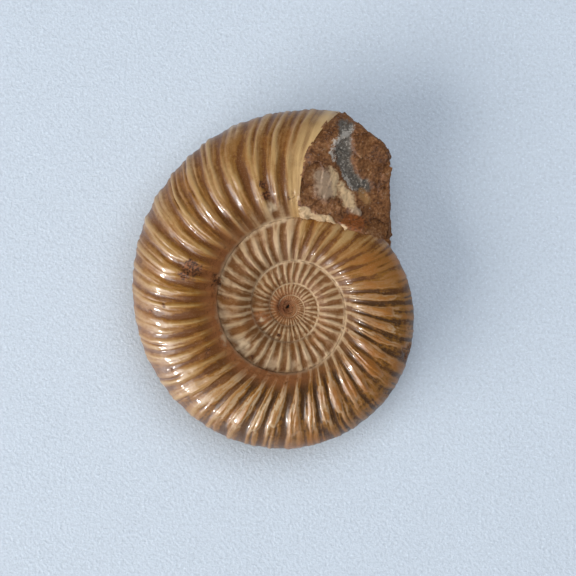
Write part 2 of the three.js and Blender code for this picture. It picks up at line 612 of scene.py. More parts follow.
    def _column_swing(self, base: Field, share: Field) -> Field:
        """How far forward a column of the grid lies at a share, in turns.

        Columns follow the ribs, start at the seam where the turn before covers them, and follow
        the lip's edge at both ends of the last whorl.

        Args:
            base: The column's turn.
            share: The share.

        Returns:
            The swing.
        """
        rule = self.rule
        start = LIP_TURN - 1
        near_seam = 1.0 - share.smooth(*rule.seam_shares)
        at_seam = rule.seam_lead - self._rib_swing(base, share * 0.0)
        ruled = self._rib_swing(base, share) + at_seam * near_seam
        near_start = base.between((start - rule.edge_reach, start), (start, start + rule.start_reach))
        edge = near_start + base.smooth(LIP_TURN - rule.edge_reach, LIP_TURN)
        return ruled.blend(self.coil.swing(share), edge)

    def _rib_phase(self, rib_turn: Field, share: Field) -> Field:
        """Count of primary ribs up to a place, with the wander of real growth in it.

        Args:
            rib_turn: The turn at which the rib through the place crosses the middle of the flank.
            share: The share.

        Returns:
            The count, whole in the middle of each furrow.
        """
        coil, rule = self.coil, self.rule
        wave = ((rib_turn - coil.rib_crowding_turn) * (2 * math.pi)).math("SINE")
        slowed = rib_turn.math("MAXIMUM", coil.rib_slowing_end)
        slowing = slowed * (rib_turn * 2.0 - slowed) * coil.rib_slowing
        seed = self._input(FlankInput.SEED)
        uneven = self._noise(rib_turn * rule.wander_rate, seed) * rule.wander
        along, across = rule.bend_rates
        bent = self._noise(rib_turn * along, share * across, seed + 5.0)
        bent = bent * share.smooth(*rule.bend_shares) * rule.bend
        ruled = rib_turn * self._input(FlankInput.RIBS) + slowing + wave * coil.rib_crowding
        return ruled + uneven + bent + coil.rib_offset

    def _rib_place(self) -> RibPlace:
        """Works out where each point is among the ribs.

        Returns:
            The place of every point.
        """
        rule = self.rule
        turn = self._read("turn")
        share = self._read("share")
        rib_turn = turn - self._rib_swing(turn, share)
        phase = self._rib_phase(rib_turn, share)
        old = 1.0 - turn.smooth(*rule.fresh_turns)
        tongued = rib_turn.between(rule.tongues_start, rule.tongues_end)
        return RibPlace(turn, share, rib_turn, phase, phase.math("FLOOR"), old, tongued)

    def _relief(self, place: RibPlace) -> Field:
        """The ribs' relief: primary ribs that split in two or three, or end in rounded tongues.

        Args:
            place: Where each point is among the ribs.

        Returns:
            The relief, 0 in a furrow and 1 on a crest.
        """
        rule, share, rib, old, tongued = self.rule, place.share, place.rib, place.old, place.tongued
        plain = share.smooth(*rule.outer_shares) * (1.0 - old) * (1.0 - tongued)
        sharpness = self._input(FlankInput.FURROW_SHARPNESS) - old * rule.old_bluntness
        sharpness = sharpness + tongued * share.smooth(*rule.tongue_shares) * rule.tongue_sharpness
        sharpness = sharpness + plain * rule.outer_sharpness
        primary = 1.0 - (place.phase * math.pi).math("COSINE").math("ABSOLUTE") ** sharpness

        split = self._input(FlankInput.SPLIT_SHARE) + tongued * rule.tongue_split_delay
        split = split + (self._chance(rib, Draw.SPLIT) - 0.5) * rule.split_chance
        deepest = self._chance(rib, Draw.CLEFT) * (1 - rule.shallowest_cleft) + rule.shallowest_cleft
        cleft = share.smooth(split, split + rule.split_length) * deepest
        off_middle = (self._chance(rib, Draw.MIDDLE) - 0.5) * rule.middle_chance
        across = place.phase - rib - 0.5 + off_middle
        forked = (across * (2 * math.pi)).math("COSINE").math("MAXIMUM", 0.0)
        forked = forked ** (sharpness * rule.fork_sharpness)
        trident = 1.0 - (across * (3 * math.pi)).math("COSINE").math("ABSOLUTE")
        three = self._chance(rib, Draw.TRIDENT).math("GREATER_THAN", rule.forked_share)
        relief = primary * (1.0 - forked.blend(trident**rule.trident_sharpness, three) * cleft)

        tip = rule.tip_share - across * across * rule.tip_roundness
        tip = tip - self._chance(rib, Draw.TIP) * rule.tip_chance
        before, after = rule.tip_slope
        relief = relief * (1.0 - tongued * share.smooth(tip + before, tip + after) * rule.tip_drop)
        around, out = rule.line_rates
        lines = self._noise(place.phase * around, share * out)
        line_height = rule.line_height - old * rule.old_line_loss
        relief = relief + lines * relief.smooth(0.0, 0.3) * line_height
        around, out = rule.patch_rates
        patchy = self._noise(place.turn * around, share * out).smooth(-0.3, 0.0)
        return relief * (1.0 - old * (1.0 - patchy) * rule.patch_wear)

    def _height(self, place: RibPlace) -> Field:
        """How high the ribs are raised.

        Args:
            place: Where each point is among the ribs.

        Returns:
            The height in millimetres.
        """
        rule, share, rib_turn = self.rule, place.share, place.rib_turn
        size = self._input(FlankInput.RIB_HEIGHT) * self._input(FlankInput.GROWTH) ** place.turn
        uneven = self._chance(place.rib, Draw.HEIGHT) * rule.height_chance + rule.lowest_height
        rising = share.smooth(*rule.seam_taper_shares) * rule.seam_taper + (1 - rule.seam_taper)
        taper = (1.0 - share * share * rule.venter_taper) * rising
        worn = rib_turn.between(rule.worn_start, rule.worn_end) * share.smooth(*rule.worn_shares)
        low = rib_turn.between(rule.low_start, rule.low_end) * share.smooth(*rule.low_shares)
        thick = place.tongued * share.between(rule.tongue_shares, rule.tongue_end_shares)
        before, after = rule.lip_reach
        edge = place.turn - self.coil.swing(share)
        lip = edge.smooth(LIP_TURN + before, LIP_TURN + after)
        height = (place.old * rule.old_height_gain + 1.0) * size * uneven * taper
        for part, change in (
            (worn, -rule.worn_loss),
            (low, -rule.low_loss),
            (thick, rule.tongue_thickness),
            (lip, -rule.lip_loss),
        ):
            height = height * (part * change + 1.0)
        return height

    def _ribbed(self, geometry: bpy.types.NodeSocket) -> bpy.types.NodeSocket:
        """Raises the ribs along the skin's normal, leaving the piece's edges where they are.

        Args:
            geometry: The coiled flank.

        Returns:
            The ribbed flank.
        """
        place = self._rib_place()
        relief = self._relief(place)
        share = place.share
        cover_share = self.coil.cover_share
        covered = share.smooth(cover_share - self.rule.covered_fade, cover_share)
        free = (1.0 - self._read("seam")) * (1.0 - covered * self._input(FlankInput.COVERED))
        free = free * share.smooth(*self.rule.free_shares)
        geometry = self._store(geometry, "relief", relief)
        geometry = self._store(geometry, "free", free)
        geometry = self._store(geometry, "phase", place.phase)
        normal = self._node("GeometryNodeInputNormal")
        push = self.tree.nodes.new("ShaderNodeVectorMath")
        push.operation = "SCALE"
        self.tree.links.new(normal.outputs[0], push.inputs[0])
        self.tree.links.new((relief * self._height(place) * free).socket, push.inputs["Scale"])
        raised = self._node("GeometryNodeSetPosition", Geometry=geometry, Offset=push.outputs[0])
        x, y, z = self._position()
        level = self.tree.nodes.new("ShaderNodeCombineXYZ")
        above = share.math("LESS_THAN", 1 - SEAM_MARK)
        for axis, part in enumerate((x, y, z * above)):
            self.tree.links.new(part.socket, level.inputs[axis])
        flat = self._node(
            "GeometryNodeSetPosition", Geometry=raised.outputs[0], Position=level.outputs[0]
        )
        return flat.outputs[0]

    def _build(self) -> None:
        """Links the steps from grid to finished mesh."""
        grid = self._node(
            "GeometryNodeMeshGrid",
            Vertices_X=self._input(FlankInput.COLUMNS).socket,
            Vertices_Y=self._input(FlankInput.ROWS).socket,
        )
        grid.inputs["Size X"].default_value = 1.0
        grid.inputs["Size Y"].default_value = 1.0
        geometry = self._ribbed(self._coiled(self._grid_attributes(grid.outputs["Mesh"])))
        real = self._node("GeometryNodeRealizeInstances", Geometry=geometry)
        finished = self._node(
            "GeometryNodeSetMaterial",
            Geometry=real.outputs[0],
            Material=self._input(FlankInput.FINISH).socket,
        )
        output = self.tree.nodes.new("NodeGroupOutput")
        self.tree.links.new(finished.outputs[0], output.inputs[0])

    def mesh(self, values: dict[FlankInput, float | int | bpy.types.Material]) -> bpy.types.Mesh:
        """Runs the tree and gives its result as a plain mesh.

        Args:
            values: A value for each input.

        Returns:
            A new mesh.
        """
        holder = bpy.data.objects.new("flank_holder", bpy.data.meshes.new("flank_holder"))
        bpy.context.scene.collection.objects.link(holder)
        modifier = holder.modifiers.new("flank", "NODES")
        modifier.node_group = self.tree
        for entry, value in values.items():
            modifier[self.sockets[entry]] = value
        evaluated = holder.evaluated_get(bpy.context.evaluated_depsgraph_get())
        mesh = bpy.data.meshes.new_from_object(evaluated)
        holder.modifiers.clear()
        bpy.data.objects.remove(holder)
        return mesh


# ---------------------------------------------------------------- skins as arrays of points


def lattice_noise(points: np.ndarray, cell: float, seed: int) -> np.ndarray:
    """Smooth random values in space, from -1 to 1.

    Args:
        points: Places, one row each.
        cell: Distance over which the value changes.
        seed: Which of the patterns to use.

    Returns:
        One value a point.
    """
    scaled = points / cell + 37.0
    corner = np.floor(scaled).astype(np.int64)
    way = scaled - corner
    way = way * way * (3 - 2 * way)
    total = np.zeros(len(points))
    for step in itertools.product((0, 1), repeat=3):
        at = corner + step
        mixed = at[:, 0] * 73856093 ^ at[:, 1] * 19349663 ^ at[:, 2] * 83492791 ^ seed * 2654435761
        mixed = (mixed ^ (mixed >> 13)) * 1274126177 & 0xFFFFFFFF
        mixed = (mixed ^ (mixed >> 16)) & 0xFFFF
        weight = np.prod(np.where(step, way, 1 - way), axis=1)
        total += weight * (mixed / 0x8000 - 1)
    return total


def rough_noise(points: np.ndarray, cell: float, seed: int, octaves: int = 3) -> np.ndarray:
    """Sum of ever finer and fainter lattice noise.

    Args:
        points: Places, one row each.
        cell: Size of the broadest features.
        seed: Which of the patterns to use.
        octaves: How many sizes are added up.

    Returns:
        One value a point, about -1 to 1.
    """
    total = np.zeros(len(points))
    for octave in range(octaves):
        total += lattice_noise(points, cell / 2**octave, seed + octave) / 2**octave
    return total / (2 - 0.5 ** (octaves - 1))


def facets(points: np.ndarray, cell: float, seed: int) -> np.ndarray:
    """Angular relief: space is cut into random cells, and each has its own tilted face.

    Args:
        points: Places, one row each.
        cell: Size of a cell.
        seed: Which of the patterns to use.

    Returns:
        One value a point, about -1 to 1.
    """
    home = np.floor(points / cell)
    best = np.full(len(points), np.inf)
    value = np.zeros(len(points))
    for step in itertools.product((-1, 0, 1), repeat=3):
        corner = home + step
        middle = (corner + 0.5) * cell
        jitter = [lattice_noise(middle, cell * 0.37, seed + axis) for axis in range(3)]
        offset = points - middle - np.column_stack(jitter) * cell * 0.55
        distance = (offset**2).sum(axis=1)
        tilt = [lattice_noise(middle, cell * 0.37, seed + 3 + axis) for axis in range(3)]
        face = (offset * np.column_stack(tilt)).sum(axis=1) / cell * 1.6
        nearer = distance < best
        best = np.where(nearer, distance, best)
        value = np.where(nearer, face, value)
    return value


class Pattern(Enum):
    """The kinds of random relief."""

    SOFT = "soft"
    FACETED = "faceted"


@dataclass(frozen=True)
class Swell:
    """Random relief: the size of its features, which pattern it is, and its height."""

    cell: float
    seed: int
    height: float
    pattern: Pattern = Pattern.SOFT

    def over(self, points: np.ndarray, strength: np.ndarray | float = 1.0) -> np.ndarray:
        """How far it lifts each point.

        Args:
            points: Places, one row each.
            strength: How strong it is at each.

        Returns:
            Heights in millimetres.
        """
        if self.pattern is Pattern.FACETED:
            return facets(points, self.cell, self.seed) * self.height * strength
        return rough_noise(points, self.cell, self.seed, 2) * self.height * strength


@dataclass(frozen=True)
class Disc:
    """A round or flattened place seen from above, full inside one radius and gone past another."""

    x: float
    y: float
    inside: float
    outside: float
    flatness: float = 1.0

    def strength(self, points: np.ndarray, wander: np.ndarray | float = 0.0) -> np.ndarray:
        """How much each point lies in it, counted as farther out by its wander."""
        away = np.hypot(points[:, 0] - self.x, (points[:, 1] - self.y) * self.flatness)
        return 1 - ease(away + wander, self.inside, self.outside)


class Skin:
    """A closed mesh held as arrays while it is shaped: points, faces and numbers on its points."""

    def __init__(self, points: np.ndarray, faces: list[tuple[int, ...]]) -> None:
        """Takes the arrays.

        Args:
            points: One row a point, in millimetres.
            faces: Point numbers of each face, facing out.
        """
        self.points = points
        self.faces = faces
        self.layers: dict[str, np.ndarray] = {}
        self.outward = np.empty((0, 3))

    @classmethod
    def from_mesh(cls, mesh: bpy.types.Mesh, layers: tuple[str, ...]) -> "Skin":
        """Reads a mesh and its named numbers, and removes the mesh.

        Args:
            mesh: The mesh to read.
            layers: Names of the attributes to keep.

        Returns:
            The skin.
        """
        points = np.empty(len(mesh.vertices) * 3)
        mesh.vertices.foreach_get("co", points)
        skin = cls(points.reshape(-1, 3), [tuple(face.vertices) for face in mesh.polygons])
        for name in layers:
            values = np.empty(len(mesh.vertices))
            mesh.attributes[name].data.foreach_get("value", values)
            skin.layers[name] = values
        bpy.data.meshes.remove(mesh)
        return skin

    def open_edges(self) -> list[tuple[int, int]]:
        """Finds the edges that only one face uses.

        Returns:
            Each edge's two point numbers, in its face's direction.
        """
        edges = set()
        for face in self.faces:
            edges.update(zip(face, face[1:] + face[:1]))
        return sorted(edge for edge in edges if (edge[1], edge[0]) not in edges)

    def mirrored(self, middle_radius: float) -> "Skin":
        """Joins an upper flank to its mirror image below and closes what is left open.

        Open edges at height zero already meet. Those within middle_radius of the axis are drawn
        to a point on each side, and the others are joined straight down.

        Args:
            middle_radius: Radius inside which an edge belongs to the hole in the middle.

        Returns:
            The closed skin.
        """
        count = len(self.points)
        level = np.abs(self.points[:, 2]) < MERGE_MM
        below = np.where(level, np.arange(count), np.arange(count) + count)
        flipped = self.points * (1, 1, -1)
        middle_rows = np.hypot(self.points[:, 0], self.points[:, 1]) < middle_radius
        faces = list(self.faces)
        faces += [tuple(int(below[corner]) for corner in reversed(face)) for face in self.faces]
        hole = []
        for start, end in self.open_edges():
            if middle_rows[start] and middle_rows[end]:
                hole.append((start, end))
            elif not (level[start] and level[end]):
                corners = (end, start, int(below[start]), int(below[end]))
                faces.append(tuple(dict.fromkeys(corners)))
        points = np.vstack([self.points, flipped])
        outward = self.normals()
        outward[level, 2] = 0
        outward = np.vstack([outward, outward * (1, 1, -1)])
        if hole:
            rim = sorted({corner for edge in hole for corner in edge})
            height = self.points[rim, 2].mean()
            top, bottom = len(points), len(points) + 1
            points = np.vstack([points, (0, 0, height), (0, 0, -height)])
            outward = np.vstack([outward, (0, 0, 1), (0, 0, -1)])
            for start, end in hole:
                faces.append((end, start, top))
                faces.append((int(below[start]), int(below[end]), bottom))
        skin = Skin(points, faces)
        skin.outward = outward
        extra = len(points) - 2 * count
        for name, values in self.layers.items():
            filler = np.full(extra, values[rim].mean() if hole else 0.0)
            skin.layers[name] = np.concatenate([values, values, filler])
        return skin._without_spares()

    def _without_spares(self) -> "Skin":
        """Drops points that no face uses.

        Returns:
            A skin without them.
        """
        used = np.zeros(len(self.points), bool)
        used[[corner for face in self.faces for corner in face]] = True
        number = np.cumsum(used) - 1
        skin = Skin(
            self.points[used], [tuple(int(number[corner]) for corner in face) for face in self.faces]
        )
        skin.outward = self.outward[used]
        skin.layers = {name: values[used] for name, values in self.layers.items()}
        return skin

    def normals(self) -> np.ndarray:
        """Averages the directions of each point's faces.

        Returns:
            The outward direction at each point.
        """
        normals = np.zeros_like(self.points)
        for size in (3, 4):
            group = np.array([face for face in self.faces if len(face) == size], int)
            if not len(group):
                continue
            corners = self.points[group]
            if size == 3:
                cross = np.cross(corners[:, 1] - corners[:, 0], corners[:, 2] - corners[:, 0])
            else:
                cross = np.cross(corners[:, 2] - corners[:, 0], corners[:, 3] - corners[:, 1])
            for slot in range(size):
                np.add.at(normals, group[:, slot], cross)
        length = np.linalg.norm(normals, axis=1, keepdims=True)
        return normals / np.maximum(length, 1e-12)

    def to_object(self, name: str, finish: bpy.types.Material) -> bpy.types.Object:
        """Makes the finished, smooth-shaded object in metres.

        Args:
            name: The object's name.
            finish: Its material.

        Returns:
            The object, linked to the scene.
        """
        mesh = bpy.data.meshes.new(name)
        mesh.from_pydata((self.points * METRES_PER_MM).tolist(), [], self.faces)
        for label, values in self.layers.items():
            layer = mesh.attributes.new(label, "FLOAT", "POINT")
            layer.data.foreach_set("value", values.astype(np.float32))
        mesh.materials.append(finish)
        mesh.polygons.foreach_set("use_smooth", [True] * len(mesh.polygons))
        mesh.update()
        mesh.set_sharp_from_angle(angle=SHARP_ANGLE)
        piece = bpy.data.objects.new(name, mesh)
        bpy.context.scene.collection.objects.link(piece)
        return piece


# ---------------------------------------------------------------- marks on the shell


@dataclass(frozen=True)
class Scar:
    """A rough hollow or crust on the upper side, in millimetres from the coil's axis.

    Its depth is negative for a crust. Dark and crust say how strongly it is stained or whitened.
    """

    x: float
    y: float
    radius: float
    depth: float
    dark: float
    crust: float = 0.0

    def strength(self, points: np.ndarray) -> np.ndarray:
        """How much each point lies in the scar, with a ragged rim.

        Args:
            points: Places about the coil's axis.

        Returns:
            Values from 0 to 1.
        """
        ragged = rough_noise(points, 0.45 * self.radius, 51) * 0.6 * self.radius
        disc = Disc(self.x, self.y, 0.2 * self.radius, self.radius)
        return disc.strength(points, ragged) * (points[:, 2] > 0)


SCARS = (
    Scar(-30.5, 12.5, 5.0, 0.45, 0.9),
    Scar(-22.5, 9.0, 3.4, 0.3, 0.6),
    Scar(-7.6, 39.5, 2.6, 0.5, 0.9),
    Scar(-6.6, 36.0, 2.4, 0.5, 0.9),
    Scar(-4.6, 32.6, 2.3, -0.3, 0.0, 0.9),
    Scar(2.0, 36.0, 3.0, 0.3, 0.5),
    Scar(-38.8, 1.7, 1.4, 0.4, 0.8),
    Scar(-43.3, -0.5, 1.2, 0.3, 0.7),
    Scar(-36.9, -18.4, 1.3, 0.3, 0.7),
    Scar(-3.2, -8.4, 1.0, 0.3, 0.8),
    Scar(-11.4, -15.2, 1.2, 0.3, 0.8),
    Scar(-14.5, -11.5, 3.6, -0.35, 0.0, 0.8),
    Scar(-19.5, -8.5, 2.8, -0.3, 0.1, 0.7),
    Scar(-8.6, -3.4, 1.2, -0.3, 0.0, 0.7),
    Scar(-20.3, -1.5, 3.0, -0.1, 0.0, 0.5),
    Scar(-5.0, -17.5, 2.8, -0.12, 0.0, 0.5),
    Scar(1.5, -17.6, 2.4, -0.1, 0.0, 0.45),
    Scar(-20.8, 4.5, 2.6, 0.25, 0.4),
    Scar(-25.5, -12.5, 2.2, 0.2, 0.5),
    Scar(18.5, -6.5, 2.2, 0.2, 0.4),
    Scar(38.0, -14.0, 4.0, 0.3, 0.5),
    Scar(33.0, -27.0, 3.4, 0.25, 0.5),
)


@dataclass
class ShellWear:
    """Turns a ruled coil into an old one: low swells, scars, a seam cord and its colour zones,
    some of which are painted light and shade.

    Spans are in turns from the lip or in shares. The lip's band and the last whorl are counted in
    turns from the lip's edge, and the cover's cord in shares from where the next whorl lies.
    """

    skin: Skin
    broad_swell: Swell = Swell(9.0, 11, 0.16)
    fine_swell: Swell = Swell(2.4, 21, 0.06)
    clots: Swell = Swell(0.8, 27, 0.28)
    chips: Swell = Swell(1.2, 29, 0.15)
    crumbs: Swell = Swell(1.3, 37, 0.14)
    pits: Swell = Swell(0.9, 31, 1.3)
    cord_beads: Swell = Swell(2.2, 61, 0.016)
    blotches: Swell = Swell(7.0, 71, 1.0)
    gaps: Swell = Swell(4.0, 65, 1.0)
    pit_middle: float = 0.6
    cord_lift: float = 0.024
    chipped_radius: float = 9.0

    filled_middle: Disc = Disc(-1.4, 0.6, 1.8, 3.4)
    bare_middle: Disc = Disc(0.0, 0.0, 1.2, 2.8)
    heart: Disc = Disc(-1.6, 0.8, 0.8, 3.6)
    rusty_middle: Disc = Disc(-1.6, 0.8, 1.5, 7.5)
    rusty_filling: Disc = Disc(-8.5, -3.0, 2.5, 5.0, 1.5)

    fresh_turns: Span = (-1.1, -0.95)
    worn_turns: tuple[Span, Span] = ((-0.95, -0.88), (-0.6, -0.5))
    deep_turns: tuple[Span, Span] = ((-0.9, -0.8), (-0.5, -0.36))
    polished_turns: Span = (-1.08, -0.86)
    lip_band: Span = (-0.021, -0.008)
    last_whorl: Span = (-1.01, -0.99)
    seam_cord: Span = (0.0, 0.045)
    cover_cord: Span = (-0.065, -0.02)
    crumbly_shares: Span = (0.03, 0.2)
    wall_shares: Span = (0.06, 0.26)
    warm_shares: Span = (0.1, 0.4)
    outer_shares: Span = (0.55, 0.92)

    def __post_init__(self) -> None:
        """Works out where each point is on the coil."""
        self.turn = self.skin.layers["turn"]
        self.share = self.skin.layers["share"]
        self.base = self.turn - COIL.swing(self.share)
        self.direction = np.arctan2(self.skin.points[:, 1], self.skin.points[:, 0])

    def _towards(self, degrees: float, low: float, high: float) -> np.ndarray:
        """How much each point lies towards a direction, rising smoothly between two cosines."""
        return ease(np.cos(self.direction - math.radians(degrees)), low, high)

    def _seam_fill(self) -> np.ndarray:
        """Finds the thin cord of rock that fills the seams.

        Returns:
            How much each point belongs to it.
        """
        below = ease(self.share - COIL.cover_share, *self.cover_cord)
        below = below * (self.base < LIP_TURN - 1)
        above = 1 - ease(self.share, *self.seam_cord)
        return np.maximum(np.maximum(below, above), self.skin.layers["seam"] > 0.3)

    def apply(self) -> None:
        """Moves the points and adds the colour layers."""
        skin = self.skin
        points = skin.points
        radius = np.hypot(points[:, 0], points[:, 1])
        size = np.minimum(1.0, COIL.growth**self.turn + 0.15)
        old = 1 - ease(self.turn, *self.fresh_turns)
        chipped = old * np.minimum(1, radius / self.chipped_radius)
        crumbly = (1 - ease(self.share, *self.crumbly_shares)) * (1 - old)
        moved = self.broad_swell.over(points, size)
        moved += self.fine_swell.over(points, size)
        moved += self.clots.over(points, self.filled_middle.strength(points))
        moved += self.chips.over(points, chipped)
        moved += self.crumbs.over(points, crumbly)
        stain = np.zeros(len(points))
        crust = np.zeros(len(points))
        pitted = self.pit_middle + self.pits.over(points)
        for scar in SCARS:
            strength = scar.strength(points)
            moved -= strength * scar.depth * pitted
            stain = np.maximum(stain, strength * scar.dark)
            crust = np.maximum(crust, strength * scar.crust)
        still = np.clip(skin.layers["free"], 0, 1)
        # The seam's pale filling is raised and coloured most towards 40°, where its wall faces the
        # light, so its colour there is partly painted light.
        fill = self._seam_fill() * (0.3 + 0.7 * self._towards(40, -0.7, 0.3))
        lift = fill * radius * (self.cord_lift + self.cord_beads.over(points))
        level = np.abs(points[:, 2]) < MERGE_MM
        skin.points = points + skin.outward * (moved * still)[:, None]
        skin.points[:, 2] += lift * np.sign(points[:, 2])
        skin.points[level, 2] = 0
        self._colour_layers(fill, stain, crust)

    def _colour_layers(self, fill: np.ndarray, stain: np.ndarray, crust: np.ndarray) -> None:
        """Adds what the finish reads: how pale, warm, rusty, deep and stained each point is. Part of
        the pale is painted light and part of the rust is painted shade, by which way a place faces the
        light.

        Args:
            fill: Strength of the seam's filling.
            stain: Strength of the scars' dark filling.
            crust: Strength of the pale crusts.
        """
        points = self.skin.points
        upper = points[:, 2] > 0
        patches = self.blotches.over(points)
        patchy = ease(self.gaps.over(points), -0.7, 0.1)
        inner = 1 - ease(self.base - LIP_TURN, *self.last_whorl)
        last = 1 - inner
        lip = ease(self.base - LIP_TURN, *self.lip_band)
        # The outer part of the last whorl is made paler all round, and most towards 190°, the side
        # that faces the light: painted light.
        outward = ease(self.share, *self.outer_shares) * last
        outward = outward * (0.4 + 0.6 * self._towards(190, -0.6, 0.6))
        # Pale: the inner whorls' own pale tone, the painted light on the outer part, and a slightly
        # paler top side towards 95°.
        pale = 0.8 * inner + 0.25 * outward + 0.15 * self._towards(95, 0.4, 0.9) * last
        wall = 1 - ease(self.share + 0.05 * patches, *self.wall_shares)
        wall = wall * last * (1 - lip)
        # Painted shade and light on the umbilical wall: towards 205° it faces away from the light and
        # is painted dark rust, elsewhere it is painted pale as lit.
        shaded = self._towards(205, -0.3, 0.5)
        middle = self.rusty_middle.strength(points, 1.2 * patches)
        filling = self.rusty_filling.strength(points, 2.5 * patches)
        warm = between(self.base, *self.worn_turns) * ease(self.share, *self.warm_shares)
        polish = ease(self.base + 0.03 * patches, *self.polished_turns)
        layers = {
            # Pale: the whorls' own tone and random patches, plus painted light on the umbilical wall
            # away from 205°.
            "pale": pale + 0.7 * wall * (1 - shaded) + 0.25 * patches,
            "cord": np.maximum(fill * patchy, crust) * (1 - self.bare_middle.strength(points)),
            "band": lip,
            "polish": polish * (0.75 + 0.25 * patches),
            "heart": self.heart.strength(points, 1.2 * patches) * upper,
            "warm": warm * (1 + 0.6 * patches),
            "deep": between(self.base, *self.deep_turns),
            # Rust: real rust in the middle and in the seam's filling, plus painted shade on the wall
            # that faces away from the light.
            "rust": np.maximum(wall * shaded, 0.8 * np.maximum(middle, filling) * upper),
            "stain": stain,
        }
        for name, values in layers.items():
            self.skin.layers[name] = np.clip(values, 0, 1)


# ---------------------------------------------------------------- parts of the fossil


class Slot(Enum):
    """Which kind of material each part is; the part keeps it, and its finish comes from the material
    it is given.
    """

    SHELL = "shell"
    MATRIX = "matrix"


@dataclass
class Part:
    """A part of the fossil with a mesh of its own, which stands in for the plain solid."""

    name: str
    slot: Slot
    finish: bpy.types.Material

    def build(self) -> Skin:
        """Builds the part's skin about the coil's axis."""
        raise NotImplementedError

    def dress(self, skin: Skin) -> None:
        """Makes the part's object, gives it its finish, hangs it on the body and hides the CAD part it
        stands in for.

        Args:
            skin: The part's skin, laid down.
        """
        piece = skin.to_object(self.name, self.finish)
        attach(piece, BODY)
        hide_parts(CAD_NODE)
        LOG.info("%s: %d points, %d faces", self.name, len(skin.points), len(skin.faces))


@dataclass
class CoilLength(Part):
    """One length of the coil's strip, ribbed by Geometry Nodes and closed."""

    tree: FlankTree
    first_turn: float
    last_turn: float
    columns: int
    rows: int
    shoulder_rows: float
    whole_section: bool
    ribs_per_turn: float = 45.55
    rib_height: float = 1.35
    split_share: float = 0.6
    furrow_sharpness: float = 1.9
    seed: float = 7.0
    middle_reach: float = 0.6

    def build(self) -> Skin:
        """Builds the worn, closed skin about the coil's axis.

        Returns:
            The skin in millimetres.
        """
        mesh = self.tree.mesh(
            {
                FlankInput.COLUMNS: self.columns,
                FlankInput.ROWS: self.rows,
                FlankInput.FIRST_TURN: self.first_turn,
                FlankInput.LAST_TURN: self.last_turn,
                FlankInput.OUTER_ANGLE: math.pi / 2 if self.whole_section else COIL.cover_angle,
                FlankInput.SHOULDER_ROWS: self.shoulder_rows,
                FlankInput.COVERED: 0.0 if self.whole_section else 1.0,
                FlankInput.SEAM_RADIUS: COIL.seam_radius,
                FlankInput.VENTER_RADIUS: COIL.venter_radius,
                FlankInput.HALF_THICKNESS: COIL.half_thickness,
                FlankInput.GROWTH: COIL.growth,
                FlankInput.RIBS: self.ribs_per_turn,
                FlankInput.RIB_HEIGHT: self.rib_height,
                FlankInput.SPLIT_SHARE: self.split_share,
                FlankInput.FURROW_SHARPNESS: self.furrow_sharpness,
                FlankInput.SEED: self.seed,
                FlankInput.FINISH: self.finish,
            }
        )
        flank = Skin.from_mesh(mesh, ("turn", "share", "seam", "relief", "free", "phase"))
        middle = COIL.venter_radius * COIL.growth ** (self.first_turn - self.middle_reach)
        closed = flank.mirrored(0.0 if self.whole_section else middle)
        ShellWear(closed).apply()
        return closed


# ---------------------------------------------------------------- the rock past the lip


STEEPEST_FACING = 0.05


@dataclass(frozen=True)
class Crack:
    """An upright crack that ends the rock: the way it faces, in degrees, and its distance out."""

    facing: float
    distance: float


@dataclass(frozen=True)
class Patch:
    """A patch of one mineral along a bent line, in millimetres, that fades out at its edge."""

    layer: str
    line: tuple[tuple[float, float], ...]
    width: float
    core: float = 0.3

    def strength(self, points: np.ndarray) -> np.ndarray:
        """How much each point lies in the patch, from 0 to 1.

        Args:
            points: Places about the coil's axis.

        Returns:
            One value a point.
        """
        nearest = np.full(len(points), np.inf)
        shifts = [rough_noise(points, 2.6, seed, 4) for seed in (81, 91)]
        flat = points[:, :2] + 1.5 * np.column_stack(shifts)
        for start, end in zip(self.line, self.line[1:]):
            span = np.subtract(end, start)
            way = np.clip(((flat - start) @ span) / (span @ span), 0, 1)
            gap = flat - start - way[:, None] * span
            nearest = np.minimum(nearest, np.hypot(gap[:, 0], gap[:, 1]))
        upper = points[:, 2] > 0
        return ease(-nearest, -self.width, -self.core * self.width) * upper


